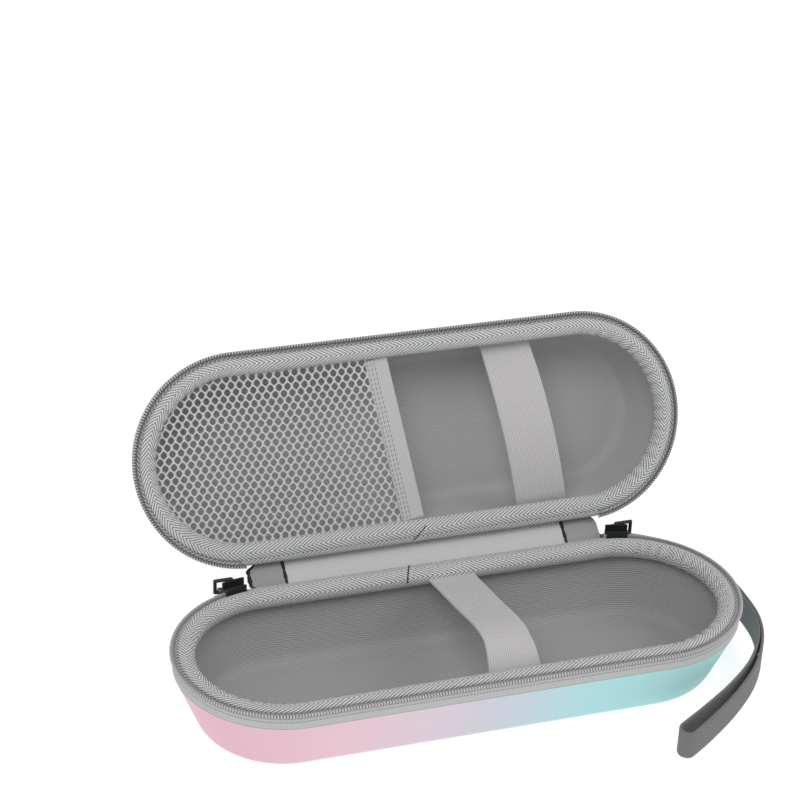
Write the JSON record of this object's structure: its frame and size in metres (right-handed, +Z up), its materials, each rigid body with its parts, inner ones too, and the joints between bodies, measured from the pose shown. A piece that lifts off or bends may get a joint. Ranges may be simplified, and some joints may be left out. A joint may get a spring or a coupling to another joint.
{
  "type": "electric toothbrush travel case",
  "caption": "Long zipped hard case with rounded ends, standing open: elastic straps, net pocket in the lid, zip sliders with rubber pulls, fabric spine and a wrist strap.",
  "frame": {"origin": "centre of the flat underside of the lower half, on the surface it stands on", "axes": "+X along the case towards the wrist strap, +Y towards the spine and the lid, +Z up"},
  "size_m": [0.2427, 0.1751, 0.1161],
  "materials": {
    "shell_cover": "smooth matt film, pink at the left end turning to pale aqua at the right end",
    "lining": "fine-ribbed mid grey fabric",
    "binding": "light grey herringbone webbing",
    "zip_tape": "light grey woven tape",
    "zip_coil": "dark grey coil",
    "facing": "light grey smooth fabric",
    "elastic": "light grey ribbed elastic",
    "spine_cover": "same film as the shells",
    "spine_lining": "light grey smooth fabric",
    "zip_end": "grey woven tape",
    "garage": "mid grey fabric with a black stitched edge",
    "net": "light grey net",
    "tab_webbing": "dark grey webbing",
    "black_metal": "black-painted metal",
    "dark_metal": "dark grey painted metal",
    "pull_rubber": "dark grey-green moulded rubber",
    "ring_steel": "bright plated wire",
    "wrist_webbing": "dark grey woven webbing"
  },
  "bodies": {
    "base": {"base_shell": "shell_cover", "base_lining": "lining", "base_binding": "binding", "base_zip_tape": "zip_tape", "base_zip_coil": "zip_coil", "base_hinge_facing": "facing", "base_strap": "elastic", "base_spine_hem": "spine_cover", "ring_tab": "tab_webbing", "d_ring": "black_metal"},
    "spine": {"spine_cover": "spine_cover", "spine_lining": "spine_lining", "zip_end_left": "zip_end", "zip_end_right": "zip_end", "zip_garage_left": "garage", "zip_garage_right": "garage"},
    "lid": {"lid_shell": "shell_cover", "lid_lining": "lining", "lid_binding": "binding", "lid_zip_tape": "zip_tape", "lid_zip_coil": "zip_coil", "lid_hinge_facing": "facing", "lid_strap": "elastic", "lid_spine_hem": "spine_cover", "pocket_net": "net", "pocket_band": "elastic"},
    "left_slider": {"slider_left": "black_metal"},
    "right_slider": {"slider_right": "black_metal"},
    "left_bail": {"bail_left": "black_metal"},
    "right_bail": {"bail_right": "black_metal"},
    "left_pull": {"pull_link_left": "dark_metal", "pull_tab_left": "pull_rubber"},
    "right_pull": {"pull_link_right": "dark_metal", "pull_tab_right": "pull_rubber"},
    "wrist_loop": {"split_ring": "ring_steel", "strap_collar": "black_metal", "wrist_strap": "wrist_webbing"}
  },
  "joints": [
    {"name": "spine_fold", "type": "hinge", "parent": "base", "child": "spine", "pos_m": [0, 0.0438, 0.0277], "axis": [-1, 0, 0], "range_deg": [-57.5, 32.5]},
    {"name": "lid_fold", "type": "hinge", "parent": "spine", "child": "lid", "pos_m": [0, 0.05443, 0.03447], "axis": [-1, 0, 0], "range_deg": [-57.5, 32.5]},
    {"name": "left_slider_travel", "type": "hinge", "parent": "base", "child": "left_slider", "pos_m": [-0.072, 0, 0.034], "axis": [0, 0, 1], "range_deg": [0, 160]},
    {"name": "right_slider_travel", "type": "hinge", "parent": "base", "child": "right_slider", "pos_m": [0.072, 0, 0.034], "axis": [0, 0, -1], "range_deg": [0, 160]},
    {"name": "left_bail_swing", "type": "hinge", "parent": "left_slider", "child": "left_bail", "pos_m": [-0.0817, 0.04486, 0.034], "axis": [0, 0, -1], "range_deg": [0, 90]},
    {"name": "right_bail_swing", "type": "hinge", "parent": "right_slider", "child": "right_bail", "pos_m": [0.0817, 0.04486, 0.034], "axis": [0, 0, 1], "range_deg": [0, 90]},
    {"name": "left_pull_swing", "type": "hinge", "parent": "left_bail", "child": "left_pull", "pos_m": [-0.0861, 0.04485, 0.0313], "axis": [1, 0.0035, 0], "range_deg": [0, 80]},
    {"name": "right_pull_swing", "type": "hinge", "parent": "right_bail", "child": "right_pull", "pos_m": [0.0861, 0.04485, 0.0313], "axis": [1, -0.0035, 0], "range_deg": [0, 80]},
    {"name": "wrist_loop_swing", "type": "hinge", "parent": "base", "child": "wrist_loop", "pos_m": [0.064, 0.0522, 0.019], "axis": [0, 0, -1], "range_deg": [-60, 0], "deforming": ["wrist_strap"]}
  ],
  "couplings": [
    {"joint": "lid_fold", "follows": "spine_fold", "ratio": 1}
  ]
}
